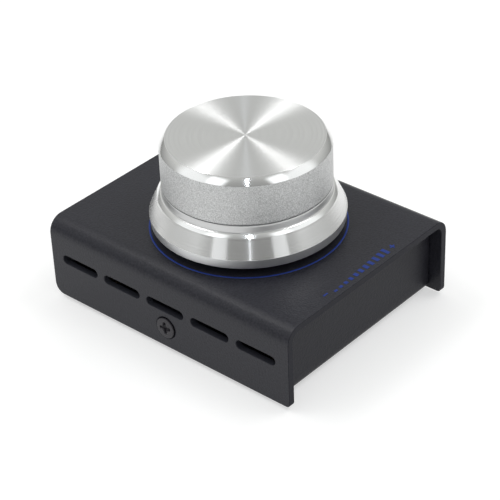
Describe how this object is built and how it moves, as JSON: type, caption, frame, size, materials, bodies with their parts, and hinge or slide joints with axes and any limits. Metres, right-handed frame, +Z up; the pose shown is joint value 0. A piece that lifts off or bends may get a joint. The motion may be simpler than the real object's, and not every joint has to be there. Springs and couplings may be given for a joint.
{
  "type": "desk volume control knob",
  "caption": "Desk volume control: folded black metal case with side slots and a large turned aluminium knob that turns without a stop and presses down.",
  "frame": {"origin": "middle of the case on the surface that the feet stand on", "axes": "-Y is the front, where the plain panel and the printed scale are; +X is the right; +Z is up, along the knob's axis"},
  "size_m": [0.0608, 0.076, 0.0467],
  "materials": {
    "black_coat": "fine-texture black powder coat",
    "knob_aluminium": "turned top and cone, blasted band, polished chamfer",
    "black_screw": "black oxide, satin",
    "foot_rubber": "matte",
    "brass": "satin",
    "board": "green solder mask",
    "plated_steel": "bright nickel plate",
    "black_plastic": "moulded, fine spark finish",
    "white_plastic": "moulded, satin",
    "can_aluminium": "satin",
    "ceramic_chip": "fired ceramic, satin",
    "die_cast": "as cast, satin",
    "blue_ink": "screen-printed ink"
  },
  "bodies": {
    "case": {"cover": "black_coat", "chassis": "black_coat", "cover_screws": "black_screw", "rubber_feet": "foot_rubber", "standoffs": "brass", "circuit_board": "board", "board_screws": "plated_steel", "microcontroller": "black_plastic", "crystal": "plated_steel", "electrolytic_capacitors": "can_aluminium", "chip_capacitors": "ceramic_chip", "chip_resistors": "black_plastic", "usb_shell": "plated_steel", "usb_tongue": "black_plastic", "switch_housing": "black_plastic", "snap_dome": "plated_steel", "encoder_base": "black_plastic", "contact_wipers": "brass", "detent_spring": "plated_steel", "encoder_bushing": "die_cast", "encoder_frame": "plated_steel", "encoder_terminals": "brass", "lock_washer": "plated_steel", "encoder_nut": "plated_steel", "ring_print": "blue_ink", "scale_print": "blue_ink"},
    "button": {"switch_plunger": "white_plastic"},
    "knob": {"knob": "knob_aluminium", "grub_screw": "black_screw", "shaft": "can_aluminium", "shaft_clip": "plated_steel"},
    "rotor": {"encoder_rotor": "white_plastic"}
  },
  "joints": [
    {"name": "press", "type": "slide", "parent": "case", "child": "button", "axis": [0, 0, 1], "range_m": [-0.0005, 0], "stiffness_N_per_m": 4000, "springref_m": 0.0005, "deforming": ["snap_dome"]},
    {"name": "knob_spin", "type": "hinge", "parent": "button", "child": "knob", "pos_m": [-0.0008, -0.0015, 0.03], "axis": [0, 0, 1], "continuous": true},
    {"name": "rotor_spin", "type": "hinge", "parent": "case", "child": "rotor", "pos_m": [-0.0008, -0.0015, 0.017], "axis": [0, 0, 1], "continuous": true}
  ],
  "couplings": [
    {"joint": "rotor_spin", "follows": "knob_spin", "ratio": 1}
  ]
}
